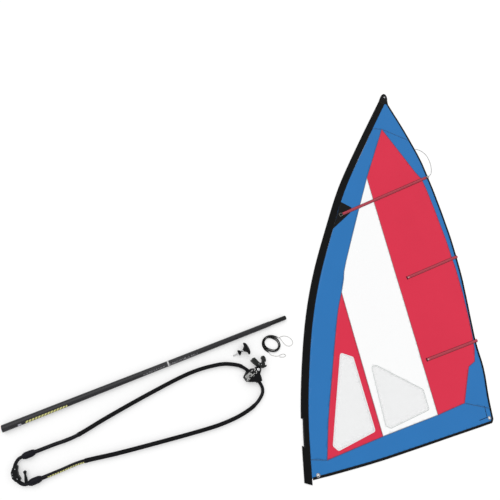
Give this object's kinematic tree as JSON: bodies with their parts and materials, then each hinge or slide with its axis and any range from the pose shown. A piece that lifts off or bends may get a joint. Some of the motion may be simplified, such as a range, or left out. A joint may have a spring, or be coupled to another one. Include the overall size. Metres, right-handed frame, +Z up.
{
  "type": "windsurf rig",
  "caption": "Windsurf rig laid out flat: battened sail with luff sleeve, lower mast section, wishbone boom, mast foot with universal joint, and coiled uphaul rope.",
  "frame": {"origin": "on the floor, under the middle of the laid-out kit", "axes": "+Z up; the sail lies on the +X side, with its head towards +Y; mast and boom lie on the -X side"},
  "size_m": [4.6928, 4.3155, 0.1145],
  "materials": {
    "blue_film": "smooth laminated sailcloth, satin",
    "red_film": "smooth laminated sailcloth, satin",
    "white_film": "smooth laminated sailcloth, satin",
    "window_film": "clear monofilm, glossy",
    "sleeve_cloth": "woven polyester, matt",
    "black_tape": "woven webbing and edge tape, matt",
    "pocket_cloth": "laminated cloth with stitch lines",
    "batten_rod": "pultruded glass fibre, satin",
    "grey_plastic": "moulded, satin",
    "steel": "stainless, polished",
    "carbon": "resin-coated fibre laminate, satin",
    "black_alloy": "black anodised",
    "grip_foam": "fine-grained grip skin, matt",
    "black_plastic": "glass-filled moulding, satin",
    "rubber": "moulded, matt",
    "flecked_rope": "braided cover with pale flecks",
    "black_rope": "braided cover with grey flecks",
    "pale_line": "thin braided line"
  },
  "bodies": {
    "root": {"head_panel": "blue_film", "luff_panel": "blue_film", "leech_panel": "blue_film", "foot_panel": "blue_film", "upper_panel": "red_film", "front_panel": "red_film", "middle_panel": "white_film", "front_window": "window_film", "middle_window": "window_film", "luff_sleeve_under": "sleeve_cloth", "luff_sleeve_over": "sleeve_cloth", "luff_sleeve_fold": "sleeve_cloth", "luff_sleeve_seam": "sleeve_cloth", "leech_tape": "black_tape", "foot_tape": "black_tape", "head_webbing": "black_tape", "luff_patch": "black_tape", "tension_strap": "black_tape", "clew_eye": "steel", "tack_eye": "steel", "batten_pocket_1": "pocket_cloth", "batten_pocket_2": "pocket_cloth", "batten_pocket_3": "pocket_cloth", "batten_1": "batten_rod", "batten_2": "batten_rod", "batten_3": "batten_rod", "batten_tip": "grey_plastic", "leech_cord": "pale_line", "mast_tube": "carbon", "mast_ferrule": "carbon", "mast_ring": "grey_plastic", "boom_arm_upper": "black_alloy", "boom_arm_lower": "black_alloy", "boom_grip_upper": "grip_foam", "boom_grip_lower": "grip_foam", "boom_clip_upper": "black_plastic", "boom_clip_lower": "black_plastic", "head_yoke": "black_plastic", "head_line": "flecked_rope", "deck_disc": "rubber", "deck_hub": "black_plastic", "uphaul_rope": "black_rope", "uphaul_loop": "pale_line", "uphaul_tail": "pale_line"},
    "buckle": {"tension_buckle": "grey_plastic"},
    "lever_upper": {"boom_lever_upper": "black_plastic"},
    "lever_lower": {"boom_lever_lower": "black_plastic"},
    "boom_tail": {"tail_leg_upper": "black_alloy", "tail_leg_lower": "black_alloy", "tail_end": "black_plastic", "tail_cleat": "black_plastic", "roller_staple": "steel"},
    "roller_upper": {"tail_roller_upper": "grey_plastic"},
    "roller_lower": {"tail_roller_lower": "grey_plastic"},
    "head_clamp": {"clamp_body": "black_plastic", "head_bolt": "steel"},
    "jaw": {"clamp_jaw": "black_plastic"},
    "cross": {"joint_cross": "steel"},
    "cup": {"mast_cup": "black_plastic"},
    "pin": {"cup_pin": "steel"}
  },
  "joints": [
    {"name": "buckle_flip", "type": "hinge", "parent": "root", "child": "buckle", "pos_m": [0.81065, 0.48358, 0.0078], "axis": [-0.423, 0.9061, 0], "range_deg": [0, 100]},
    {"name": "lever_upper_open", "type": "hinge", "parent": "root", "child": "lever_upper", "pos_m": [-2.11522, -1.68099, 0.0275], "axis": [0, 0, -1], "range_deg": [0, 100]},
    {"name": "lever_lower_open", "type": "hinge", "parent": "root", "child": "lever_lower", "pos_m": [-2.04012, -1.9142, 0.0275], "axis": [0, 0, 1], "range_deg": [0, 100]},
    {"name": "tail_slide", "type": "slide", "parent": "root", "child": "boom_tail", "axis": [-0.9519, -0.3065, 0], "range_m": [0, 0.26]},
    {"name": "roller_upper_spin", "type": "hinge", "parent": "boom_tail", "child": "roller_upper", "pos_m": [-2.23223, -1.83634, 0.0275], "axis": [0, 0, 1], "continuous": true},
    {"name": "roller_lower_spin", "type": "hinge", "parent": "boom_tail", "child": "roller_lower", "pos_m": [-2.2258, -1.85633, 0.0275], "axis": [0, 0, 1], "continuous": true},
    {"name": "head_swivel", "type": "hinge", "parent": "root", "child": "head_clamp", "pos_m": [-0.2554, -1.14039, 0.0275], "axis": [0, 0, 1], "range_deg": [-56, 34]},
    {"name": "jaw_open", "type": "hinge", "parent": "head_clamp", "child": "jaw", "pos_m": [-0.19943, -1.08372, 0.0275], "axis": [0, 0, -1], "range_deg": [0, 70]},
    {"name": "foot_tilt", "type": "hinge", "parent": "root", "child": "cross", "pos_m": [-0.40127, -0.96953, 0.04033], "axis": [-0.4648, 0.8854, 0], "range_deg": [-60, 60]},
    {"name": "foot_swing", "type": "hinge", "parent": "cross", "child": "cup", "pos_m": [-0.40127, -0.96953, 0.04033], "axis": [-0.3309, -0.1737, 0.9275], "range_deg": [-60, 60]},
    {"name": "pin_spin", "type": "hinge", "parent": "cup", "child": "pin", "pos_m": [-0.40127, -0.96953, 0.04033], "axis": [0.8212, 0.4312, 0.3738], "continuous": true}
  ]
}
